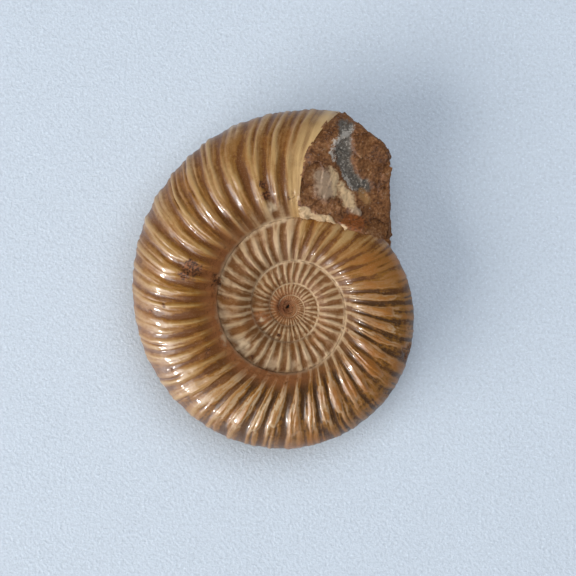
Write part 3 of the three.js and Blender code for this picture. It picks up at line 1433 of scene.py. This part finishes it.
@dataclass
class Rock(Part):
    """The rock that fills the whorl past the lip, broken to a slope and three upright cracks.

    Its foot lies on the whorl below, along a line of directions and radii. Directions are in
    degrees, and spans of turns are counted from the lip's edge.
    """

    start_direction: float = 97.0
    end_direction: float = 27.0
    columns: int = 110
    rows: int = 80
    depth_inside: float = 9.0
    shell_thickness: float = 1.3
    shell_edge: float = 0.008
    sunk: float = 0.86
    edge: tuple[float, float, float] = (2.8, 37.4, 15.2)
    fall_direction: float = -29.0
    slope: float = 0.5
    cracks: tuple[Crack, ...] = (Crack(0.0, 32.0), Crack(26.0, 50.0), Crack(51.7, 59.6))
    foot: tuple[Span, ...] = ((32.0, 38.6), (43.0, 33.7), (56.0, 30.9), (69.0, 30.6))
    foot_height: float = 1.2
    foot_slope: Span = (-0.8, 1.4)
    foot_turns: Span = (0.004, 0.02)
    bare_turns: Span = (-0.002, 0.012)
    voxel: float = 0.31
    broad: Swell = Swell(5.5, 101, 0.8, Pattern.FACETED)
    medium: Swell = Swell(2.1, 111, 0.3, Pattern.FACETED)
    crystals: Swell = Swell(1.0, 131, 0.4, Pattern.FACETED)
    grain: Swell = Swell(0.9, 121, 0.22)
    glass_rise: float = 0.9
    cream_rise: float = 0.3
    crystal_sink: float = 1.0
    covered_relief: float = 0.25
    bare_relief: float = 1.75
    patches: tuple[Patch, ...] = (
        Patch("crystal", ((18.2, 58.0), (17.7, 53.4), (17.8, 47.3), (19.4, 42.1), (24.4, 38.2)), 3.4),
        # The sparkle lines run along the crystal band's left rim: a painted highlight where the light
        # catches it.
        Patch("sparkle", ((20.3, 57.3), (15.3, 53.4), (14.2, 47.3)), 1.5),
        Patch("sparkle", ((17.6, 42.0), (20.4, 38.6)), 1.3),
        Patch("glass", ((10.8, 41.8), (11.8, 37.8)), 4.6, 0.1),
        Patch("glass", ((20.6, 31.0), (22.0, 30.6)), 2.4, 0.1),
        Patch("cream", ((13.9, 43.8), (14.4, 37.0)), 2.1, 0.0),
        Patch("cream", ((16.3, 39.4), (17.4, 36.8)), 1.9, 0.1),
        Patch("cream", ((17.6, 36.6), (19.6, 33.4)), 3.1, 0.1),
        Patch("cream", ((-1.0, 30.6), (4.2, 30.8), (8.2, 29.8), (12.0, 28.2), (17.0, 25.0)), 2.0, 0.5),
        Patch("ochre", ((23.6, 36.6), (24.8, 34.4)), 2.3, 0.1),
        Patch("rust", ((18.8, 27.4), (22.8, 27.0)), 3.4, 0.3),
    )

    def _outer(self, direction: np.ndarray, venter: np.ndarray) -> np.ndarray:
        """Distance from the axis to the venter or to the nearer crack.

        Args:
            direction: Directions in radians.
            venter: The venter's radius in each.

        Returns:
            Distances in millimetres.
        """
        outer = venter
        for crack in self.cracks:
            facing = np.cos(direction - math.radians(crack.facing))
            outer = np.minimum(outer, crack.distance / np.maximum(facing, STEEPEST_FACING))
        return outer

    def _lump(self) -> Skin:
        """Builds the plain lump: the whorl's section, sliced by the break and the cracks.

        Returns:
            The closed skin.
        """
        sweep = np.linspace(self.start_direction, self.end_direction, self.columns)
        direction = np.radians(np.repeat(sweep, self.rows))
        across = np.tile(np.linspace(0, 1, self.rows), self.columns)
        turn = COIL.turn(direction)
        seam, venter = COIL.radii(turn)
        inner = seam - self.depth_inside
        radius = inner + across * (self._outer(direction, venter) - inner)
        share = (radius - seam) / (venter - seam)
        base = turn - COIL.swing(np.clip(share, 0, 1))
        shell = (1 - ease(base, LIP_TURN - self.shell_edge, LIP_TURN)) * self.shell_thickness
        half = COIL.half_thickness * COIL.growth**turn
        natural = half * COIL.thickness(np.clip(share, 0, 1)) - shell
        covered_seam, covered_venter = COIL.radii(turn - 1)
        covered_share = np.clip((radius - covered_seam) / (covered_venter - covered_seam), 0, 1)
        covered = half / COIL.growth * COIL.thickness(covered_share)
        full = np.maximum(np.where(share < 0, covered * self.sunk, natural), 0)
        x = radius * np.cos(direction)
        y = radius * np.sin(direction)
        fall = math.radians(self.fall_direction)
        drop = (x - self.edge[0]) * math.cos(fall) + (y - self.edge[1]) * math.sin(fall)
        broken = np.minimum(full, np.maximum(self.edge[2] - self.slope * drop, -full))

        foot_directions, foot_radii = (np.array(values) for values in zip(*self.foot))
        beyond = radius - np.interp(np.degrees(direction), foot_directions, foot_radii)
        rise = self.foot_height * (2 * ease(beyond, *self.foot_slope) - 1)
        past_lip = ease(turn - LIP_TURN, *self.foot_turns) * (covered_share < 1)
        broken = np.where(past_lip > 0, np.maximum(broken, covered + rise * past_lip), broken)
        return self._closed(np.vstack([np.column_stack([x, y, z]) for z in (broken, -full)]))

    def _closed(self, points: np.ndarray) -> Skin:
        """Joins the upper and lower grids into one closed skin.

        Args:
            points: The upper grid, column by column, and then the lower one.

        Returns:
            The skin.
        """
        count = self.columns * self.rows
        faces = []
        for column, row in itertools.product(range(self.columns - 1), range(self.rows - 1)):
            corner = column * self.rows + row
            across = corner + self.rows
            faces.append((corner, corner + 1, across + 1, across))
            faces.append(tuple(count + number for number in (corner, across, across + 1, corner + 1)))
        rim = Skin(points, faces).open_edges()
        upper_rim = [edge for edge in rim if edge[0] < count]
        faces += [(end, start, start + count, end + count) for start, end in upper_rim]
        return Skin(points, faces)

    def _even(self, lump: Skin) -> Skin:
        """Remeshes the lump into even, small faces.

        Args:
            lump: Any closed skin.

        Returns:
            A closed skin with faces about one voxel across.
        """
        mesh = bpy.data.meshes.new("lump")
        mesh.from_pydata(lump.points.tolist(), [], lump.faces)
        holder = bpy.data.objects.new("lump", mesh)
        bpy.context.scene.collection.objects.link(holder)
        modifier = holder.modifiers.new("even", "REMESH")
        modifier.mode = "VOXEL"
        modifier.voxel_size = self.voxel
        evaluated = holder.evaluated_get(bpy.context.evaluated_depsgraph_get())
        fine = bpy.data.meshes.new_from_object(evaluated)
        bpy.data.objects.remove(holder)
        bpy.data.meshes.remove(mesh)
        return Skin.from_mesh(fine, ())

    def _bare(self, points: np.ndarray) -> np.ndarray:
        """Finds which points lie past the shell's lip.

        Args:
            points: Places about the coil's axis.

        Returns:
            Values from 0 under the shell to 1 past the lip.
        """
        turn = COIL.turn(np.arctan2(points[:, 1], points[:, 0]))
        seam, venter = COIL.radii(turn)
        share = (np.hypot(points[:, 0], points[:, 1]) - seam) / (venter - seam)
        base = turn - COIL.swing(np.clip(share, 0, 1))
        return ease(base - LIP_TURN, *self.bare_turns)

    def build(self) -> Skin:
        """Builds the rough, broken rock about the coil's axis.

        Returns:
            The skin in millimetres, with a layer for each mineral.
        """
        skin = self._even(self._lump())
        points = skin.points
        for patch in self.patches:
            strength = patch.strength(points)
            skin.layers[patch.layer] = np.maximum(skin.layers.get(patch.layer, 0.0), strength)
        minerals = skin.layers
        dull = (1 - minerals["crystal"]) * (1 - np.maximum(minerals["glass"], minerals["rust"]))
        rough = self.broad.over(points)
        rough += self.medium.over(points, 1 - np.maximum(minerals["glass"], minerals["rust"]))
        rough += self.grain.over(points, dull)
        rough += self.crystals.over(points, np.maximum(minerals["crystal"], minerals["sparkle"]))
        rough += minerals["glass"] * self.glass_rise + minerals["cream"] * self.cream_rise
        rough -= minerals["crystal"] * self.crystal_sink
        most = self.covered_relief + (self.bare_relief - self.covered_relief) * self._bare(points)
        skin.points = points + skin.normals() * np.minimum(rough, most)[:, None]
        return skin


# ---------------------------------------------------------------- how it lies


@dataclass(frozen=True)
class Resting:
    """How the fossil lies: tilted onto its lower flank, its lowest crests worn flat."""

    tilt: float = 3.5
    raised_direction: float = 59.0
    wear: float = 0.45

    def lay_down(self, skins: list[Skin]) -> None:
        """Lays all the skins down together and centres them over the CAD box.

        Args:
            skins: The pieces, about the coil's axis, which are moved.
        """
        raised = math.radians(self.raised_direction)
        axis = Vector((-math.sin(raised), math.cos(raised), 0))
        turn = np.array(Matrix.Rotation(math.radians(-self.tilt), 3, axis))
        for skin in skins:
            skin.points = skin.points @ turn.T
        everything = np.vstack([skin.points for skin in skins])
        low = everything.min(axis=0)
        high = everything.max(axis=0)
        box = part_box(CAD_NODE)
        centre = [(box[0][axis] + box[1][axis]) / 2 / METRES_PER_MM for axis in range(2)]
        move = np.array([*(centre - (low + high)[:2] / 2), -low[2] - self.wear])
        for skin in skins:
            skin.points = skin.points + move
            skin.points[:, 2] = np.maximum(skin.points[:, 2], 0)


# ---------------------------------------------------------------- finishes


Colour = tuple[float, float, float]


class Paint:
    """One material's nodes, laid out step by step."""

    def __init__(self, name: str) -> None:
        """Starts an empty material.

        Args:
            name: The material's name.
        """
        self.material = bpy.data.materials.new(name)
        self.material.use_nodes = True
        self.tree = self.material.node_tree
        self.shader = self.tree.nodes["Principled BSDF"]
        self.place = self.tree.nodes.new("ShaderNodeTexCoord").outputs["Object"]

    def read(self, layer: str) -> Field:
        """Reads a number stored on the mesh.

        Args:
            layer: Its name.

        Returns:
            The number.
        """
        node = self.tree.nodes.new("ShaderNodeAttribute")
        node.attribute_name = layer
        return Field(self.tree, node.outputs["Fac"])

    def _noise(self, place: bpy.types.NodeSocket, scale: float, detail: float, twist: float) -> Field:
        """Adds a noise texture.

        Args:
            place: What the noise is read at.
            scale: How many features there are to a unit of place.
            detail: How many finer sizes are added.
            twist: How far it is distorted.

        Returns:
            The noise, from 0 to 1.
        """
        node = self.tree.nodes.new("ShaderNodeTexNoise")
        self.tree.links.new(place, node.inputs["Vector"])
        node.inputs["Scale"].default_value = scale
        node.inputs["Detail"].default_value = detail
        node.inputs["Distortion"].default_value = twist
        return Field(self.tree, node.outputs["Fac"])

    def noise(self, size: float, detail: float = 3.0, twist: float = 0.0) -> Field:
        """Soft noise in space, with features of a size in millimetres."""
        return self._noise(self.place, 1 / (size * METRES_PER_MM), detail, twist)

    def streaks(self, across: Field, along: Field) -> Field:
        """Noise drawn out along the ribs.

        Args:
            across: A number that grows across the ribs.
            along: A number that grows slowly along them.

        Returns:
            The noise, from 0 to 1.
        """
        vector = self.tree.nodes.new("ShaderNodeCombineXYZ")
        self.tree.links.new(across.socket, vector.inputs[0])
        self.tree.links.new(along.socket, vector.inputs[1])
        return self._noise(vector.outputs[0], 1.0, 4.0, 0.0)

    def cells(self, size: float) -> tuple[Field, Field]:
        """Random cells.

        Args:
            size: Their size in millimetres.

        Returns:
            The distance to the nearest cell's middle, and a random number for each cell.
        """
        node = self.tree.nodes.new("ShaderNodeTexVoronoi")
        self.tree.links.new(self.place, node.inputs["Vector"])
        node.inputs["Scale"].default_value = 1 / (size * METRES_PER_MM)
        parts = self.tree.nodes.new("ShaderNodeSeparateColor")
        self.tree.links.new(node.outputs["Color"], parts.inputs[0])
        return Field(self.tree, node.outputs["Distance"]), Field(self.tree, parts.outputs[0])

    def ramp(self, value: Field, stops: tuple[tuple[float, Colour], ...]) -> bpy.types.NodeSocket:
        """Turns a number into a colour.

        Args:
            value: The number.
            stops: Values and the colours they give.

        Returns:
            The colour.
        """
        node = self.tree.nodes.new("ShaderNodeValToRGB")
        elements = node.color_ramp.elements
        while len(elements) < len(stops):
            elements.new(0.5)
        for element, (position, colour) in zip(elements, stops):
            element.position = position
            element.color = (*colour, 1)
        self.tree.links.new(value.socket, node.inputs[0])
        return node.outputs[0]

    def mix(
        self, way: Field, under: bpy.types.NodeSocket | Colour, over: bpy.types.NodeSocket | Colour
    ) -> bpy.types.NodeSocket:
        """Lays one colour over another.

        Args:
            way: How much of the upper colour shows.
            under: The lower colour.
            over: The upper colour.

        Returns:
            The mixed colour.
        """
        node = self.tree.nodes.new("ShaderNodeMix")
        node.data_type = "RGBA"
        self.tree.links.new(way.clamp().socket, node.inputs["Factor"])
        colours = [socket for socket in node.inputs if socket.type == "RGBA"]
        for socket, colour in zip(colours, (under, over)):
            if isinstance(colour, tuple):
                socket.default_value = (*colour, 1)
            else:
                self.tree.links.new(colour, socket)
        return next(socket for socket in node.outputs if socket.type == "RGBA")

    def finish(
        self, colour: bpy.types.NodeSocket, roughness: Field, height: Field, depth: float
    ) -> bpy.types.Material:
        """Links the results to the shader.

        Args:
            colour: The base colour.
            roughness: The roughness.
            height: The fine relief, from 0 to 1.
            depth: How deep that relief is, in millimetres.

        Returns:
            The finished material.
        """
        self.tree.links.new(colour, self.shader.inputs["Base Color"])
        self.tree.links.new(roughness.clamp().socket, self.shader.inputs["Roughness"])
        bump = self.tree.nodes.new("ShaderNodeBump")
        bump.inputs["Distance"].default_value = depth * METRES_PER_MM
        self.tree.links.new(height.socket, bump.inputs["Height"])
        self.tree.links.new(bump.outputs[0], self.shader.inputs["Normal"])
        return self.material


@dataclass(frozen=True)
class ShellFinish:
    """Polished fossil shell: amber furrows darkened partly by painted shade, beige crests, pale inner
    whorls, orange worn part.

    Sizes and the bump's depth are in millimetres.
    """

    # Furrow colours: the shell's own tone, darkened further as painted shade in the furrows.
    furrow: Colour = (0.120, 0.036, 0.006)
    deep_furrow: Colour = (0.045, 0.018, 0.007)
    flank: Colour = (0.250, 0.102, 0.013)
    crest: Colour = (0.375, 0.208, 0.062)
    pale_furrow: Colour = (0.165, 0.066, 0.018)
    pale_crest: Colour = (0.50, 0.350, 0.205)
    warm: Colour = (0.30, 0.108, 0.018)
    # Rust: real rust, and also painted shade on the umbilical wall that faces away from the light.
    rust: Colour = (0.35, 0.128, 0.043)
    heart: Colour = (0.13, 0.040, 0.016)
    # Cord: the seam's real pale filling, partly painted light where it faces the light.
    cord: Colour = (0.60, 0.44, 0.27)
    band: Colour = (0.56, 0.355, 0.150)
    stain: Colour = (0.062, 0.026, 0.012)
    broad_size: float = 9.0
    fine_size: float = 1.3
    speckle_size: float = 0.7
    grain_size: float = 0.28
    streaks_per_rib: float = 4.0
    threads_per_rib: float = 11.0
    tongue_end: Span = (0.74, 0.86)
    roughness: float = 0.34
    gloss: float = 0.35
    coat: float = 0.6
    coat_roughness: float = 0.05
    bump_depth: float = 0.2

    def _ribs(self, paint: Paint, height: Field) -> bpy.types.NodeSocket:
        """The ribs' colours, from furrow to crest, in the dark whorl and in the pale ones: partly
        their own tone and partly painted shade that darkens the furrows.

        Args:
            paint: The material's nodes.
            height: How high each place looks, 0 in a furrow and 1 on a crest.

        Returns:
            The colour.
        """
        floor = paint.mix(paint.read("deep"), self.furrow, self.deep_furrow)
        dark_ribs = paint.mix(height.smooth(-0.08, 0.32), floor, self.flank)
        dark_ribs = paint.mix(height.smooth(0.4, 1.0), dark_ribs, self.crest)
        tongue = paint.read("deep") * (1.0 - paint.read("share").smooth(*self.tongue_end))
        outline = tongue * height.between((0.32, 0.5), (0.66, 0.86))
        dark_ribs = paint.mix(outline * 0.9, dark_ribs, self.pale_crest)
        dark_ribs = paint.mix(tongue * height.smooth(0.74, 0.95) * 0.6, dark_ribs, self.warm)
        pale_ribs = paint.mix(height.smooth(0.0, 0.8), self.pale_furrow, self.pale_crest)
        return paint.mix(paint.read("pale"), dark_ribs, pale_ribs)

    def material(self) -> bpy.types.Material:
        """Builds the shell's material.

        Returns:
            The finished material.
        """
        paint = Paint("polished_shell")
        relief, phase, share = (paint.read(layer) for layer in ("relief", "phase", "share"))
        polish, rust, stain = (paint.read(layer) for layer in ("polish", "rust", "stain"))
        streak = paint.streaks(phase * self.streaks_per_rib, share * 2.0)
        thread = paint.streaks(phase * self.threads_per_rib + 7.0, share * 3.0)
        broad = paint.noise(self.broad_size, 3.0, 0.6)
        fine = paint.noise(self.fine_size, 5.0, 0.3)
        grain = paint.noise(self.grain_size)
        speckle = paint.noise(self.speckle_size, 4.0)

        uneven = (fine - 0.5) * 0.8 + (broad - 0.5) * 0.4 + (streak - 0.5) * 1.3
        shadow = (1.0 - share.smooth(0.3, 0.65)) * polish * 0.3
        height = (relief * 0.9 + uneven - shadow).clamp()
        warmth = paint.read("warm") * height.smooth(0.2, 0.6) + (broad - 0.52) * 2.4
        dark_thread = (0.43 - thread) * 5.0 + (0.45 - grain) * 2.5
        scarred = (stain + (fine - 0.5) * 1.6).smooth(0.25, 0.7) * stain.smooth(0.0, 0.2)
        mottled = paint.mix((grain + fine - 0.95) * 3.0, self.rust, self.furrow)
        filling = paint.mix(speckle.smooth(0.4, 0.65) * 0.7, self.stain, self.rust)
        colour = self._ribs(paint, height)
        for way, over in (
            (warmth * 0.75, self.warm),
            ((grain - 0.56) * 2.0, self.pale_crest),
            (dark_thread.clamp() * 0.6, self.furrow),
            # Rust layer: real rust, and painted shade on the umbilical wall that faces away from the
            # light.
            (rust * (fine + 0.35), mottled),
            (paint.read("heart") * (fine + 0.2), self.heart),
            # Pale cord: real filling, partly painted light on the side the light falls on.
            (paint.read("cord") * (fine + 0.5), self.cord),
            (paint.read("band") * (streak * 2.2 + broad - 0.95), self.band),
            (scarred, filling),
        ):
            colour = paint.mix(way, colour, over)

        shine = polish * (1.0 - scarred)
        matt = (1.0 - shine) * 0.3 + (1.0 - relief) * 0.12 + rust * 0.1
        roughness = matt + (fine - 0.5) * 0.25 + (streak - 0.5) * 0.3 + self.roughness
        coat = shine * (fine.smooth(0.3, 0.6) * 0.5 + 0.5) * self.coat
        paint.tree.links.new(coat.clamp().socket, paint.shader.inputs["Coat Weight"])
        paint.shader.inputs["Specular IOR Level"].default_value = self.gloss
        paint.shader.inputs["Coat Roughness"].default_value = self.coat_roughness
        bumps = fine * 0.5 + grain * 0.25 + streak * 0.5 + thread * 0.4
        return paint.finish(colour, roughness, bumps, self.bump_depth)


@dataclass(frozen=True)
class RockFinish:
    """Broken ironstone with a core of grey crystals and patches of cream, rust and ochre, and a
    painted highlight along the crystals' left rim.

    Sizes and the bump's depth are in millimetres.
    """

    dark: Colour = (0.070, 0.024, 0.007)
    brown: Colour = (0.200, 0.080, 0.026)
    light: Colour = (0.34, 0.175, 0.072)
    crystal: Colour = (0.120, 0.108, 0.088)
    # Sparkle: the crystals' own light speckle, and a painted highlight along the crystal band's left
    # rim.
    sparkle: Colour = (0.42, 0.37, 0.31)
    glass: Colour = (0.34, 0.235, 0.150)
    cream: Colour = (0.56, 0.390, 0.215)
    ochre: Colour = (0.30, 0.150, 0.050)
    rust: Colour = (0.27, 0.080, 0.018)
    broad_size: float = 6.0
    fine_size: float = 0.8
    crystal_size: float = 0.55
    grain_size: float = 0.32
    roughness: float = 0.8
    bump_depth: float = 0.25

    def material(self) -> bpy.types.Material:
        """Builds the rock's material.

        Returns:
            The finished material.
        """
        paint = Paint("broken_rock")
        broad = paint.noise(self.broad_size, 4.0, 0.8)
        fine = paint.noise(self.fine_size, 6.0)
        distance, chance = paint.cells(self.crystal_size)
        grain = paint.noise(self.grain_size)
        speck = fine * 0.45 + broad * 0.4 + grain * 0.15
        colour = paint.ramp(speck, ((0.38, self.dark), (0.52, self.brown), (0.68, self.light)))
        ragged = (fine - 0.5) * 0.8 + (broad - 0.5) * 0.4
        minerals = (
            ("glass", self.glass),
            ("crystal", self.crystal),
            ("ochre", self.ochre),
            ("rust", paint.mix((0.52 - fine) * 4.0, self.rust, self.dark)),
            ("cream", self.cream),
        )
        for layer, shade in minerals:
            way = (paint.read(layer) + ragged * 1.3).smooth(0.1, 0.9)
            colour = paint.mix(way * 0.9, colour, shade)
        # Glint: light speckle in the crystals, and a painted highlight on the sparkle lines along
        # their left rim.
        glint = paint.read("sparkle") * 0.8 + paint.read("crystal") * 0.28
        glint = (glint + (chance - 0.5) * 0.9 + (grain - 0.5) * 1.6).smooth(0.45, 0.9)
        colour = paint.mix(glint * 0.9, colour, self.sparkle)
        clear = paint.read("crystal") * 0.3 + paint.read("glass") * 0.35 + paint.read("rust") * 0.35
        roughness = self.roughness - clear + (fine - 0.5) * 0.3
        bumps = fine * 0.5 + grain * 0.4 + distance * paint.read("crystal") * 0.4
        return paint.finish(colour, roughness, bumps, self.bump_depth)


# ---------------------------------------------------------------- the studio


@dataclass(frozen=True)
class Softbox:
    """A rectangular light that faces the fossil, in degrees, metres and watts.

    One that isn't mirrored shows in no reflection, and one that isn't lighting shows in nothing
    else.
    """

    name: str
    direction: float
    elevation: float
    distance: float
    width: float
    height: float
    power: float
    colour: Colour
    mirrored: bool = True
    lighting: bool = True

    def place(self) -> None:
        """Adds the light to the scene."""
        light = bpy.data.lights.new(self.name, "AREA")
        light.shape = "RECTANGLE"
        light.size = self.width
        light.size_y = self.height
        light.energy = self.power
        light.color = self.colour
        away = Vector((1, 0, 0))
        away.rotate(Matrix.Rotation(math.radians(-self.elevation), 3, "Y"))
        away.rotate(Matrix.Rotation(math.radians(self.direction), 3, "Z"))
        holder = bpy.data.objects.new(self.name, light)
        holder.location = away * self.distance
        holder.rotation_euler = away.to_track_quat("Z", "Y").to_euler()
        holder.visible_glossy = self.mirrored
        holder.visible_diffuse = self.lighting
        bpy.context.scene.collection.objects.link(holder)


@dataclass(frozen=True)
class Studio:
    """Where the fossil is looked at: pale floor, low window light, soft light from above."""

    floor_reach: float = 2.0
    sensor_width: float = 36.0
    frame_width: float = 0.1837
    camera_height: float = 0.7
    look_at: tuple[float, float, float] = (0.0048, -0.0027, 0.016)
    floor: Colour = (0.575, 0.635, 0.70)
    sky: Colour = (0.86, 0.91, 1.0)
    sky_strength: float = 0.27
    lights: tuple[Softbox, ...] = (
        Softbox("window", 212.0, 29.0, 2.4, 2.2, 1.3, 58.0, (1.0, 0.98, 0.95)),
        Softbox("pane", 213.0, 17.0, 2.4, 0.36, 0.24, 80.0, (1.0, 1.0, 1.0), True, False),
        Softbox("ceiling", 60.0, 68.0, 1.9, 1.9, 1.5, 25.0, (0.86, 0.92, 1.0), False),
    )

    def _floor(self) -> None:
        """Lays the floor."""
        signs = ((-1, -1), (1, -1), (1, 1), (-1, 1))
        corners = [(x * self.floor_reach, y * self.floor_reach, 0) for x, y in signs]
        mesh = bpy.data.meshes.new("floor")
        mesh.from_pydata(corners, [], [(0, 1, 2, 3)])
        paint = Paint("pale_floor")
        mottle = paint.noise(14.0, 4.0)
        foam = paint.noise(1.1)
        cells = paint.noise(0.7, 2.0)
        darker = tuple(0.84 * part for part in self.floor)
        lighter = tuple(min(1.0, 1.2 * part) for part in self.floor)
        colour = paint.mix(mottle * 0.4 + (0.5 - foam) * 2.5, self.floor, darker)
        colour = paint.mix((cells - 0.56) * 5.0, colour, lighter)
        mesh.materials.append(paint.finish(colour, mottle * 0.1 + 0.5, foam + cells * 0.6, 0.25))
        floor = bpy.data.objects.new("floor", mesh)
        bpy.context.scene.collection.objects.link(floor)

    def _camera(self) -> None:
        """Places the camera straight above."""
        camera = bpy.data.cameras.new("camera")
        camera.sensor_width = self.sensor_width
        camera.lens = self.sensor_width * self.camera_height / self.frame_width
        holder = bpy.data.objects.new("camera", camera)
        x, y, z = self.look_at
        holder.location = (x, y, z + self.camera_height)
        bpy.context.scene.collection.objects.link(holder)
        bpy.context.scene.camera = holder

    def _sky(self) -> None:
        """Fills the room with a faint even light."""
        world = bpy.data.worlds.new("room")
        world.use_nodes = True
        background = world.node_tree.nodes["Background"]
        background.inputs["Color"].default_value = (*self.sky, 1)
        background.inputs["Strength"].default_value = self.sky_strength
        world.cycles_visibility.glossy = False
        bpy.context.scene.world = world

    def build(self) -> None:
        """Sets up floor, lights, sky and camera."""
        self._floor()
        self._sky()
        for light in self.lights:
            light.place()
        self._camera()
        bpy.context.scene.view_settings.view_transform = "Standard"


# ---------------------------------------------------------------- all together


def main() -> None:
    """Builds the fossil's parts in order, lays them down together and sets up the studio."""
    logging.basicConfig(level=logging.INFO, format="%(message)s")
    shell = ShellFinish().material()
    broken = RockFinish().material()
    tree = FlankTree(COIL, RibRule())
    start = LIP_TURN - 1
    inner = CoilLength(
        "inner_whorls",
        Slot.SHELL,
        shell,
        tree,
        first_turn=start - INNER_TURNS,
        last_turn=start,
        columns=2381,
        rows=20,
        shoulder_rows=0.55,
        whole_section=False,
    )
    outer = CoilLength(
        "outer_whorl",
        Slot.SHELL,
        shell,
        tree,
        first_turn=start,
        last_turn=LIP_TURN,
        columns=860,
        rows=56,
        shoulder_rows=0.34,
        whole_section=True,
    )
    parts: list[Part] = [inner, outer, Rock("matrix", Slot.MATRIX, broken)]
    skins = [part.build() for part in parts]
    Resting().lay_down(skins)
    for part, skin in zip(parts, skins):
        part.dress(skin)
    Studio().build()


if __name__ == "__main__":
    main()
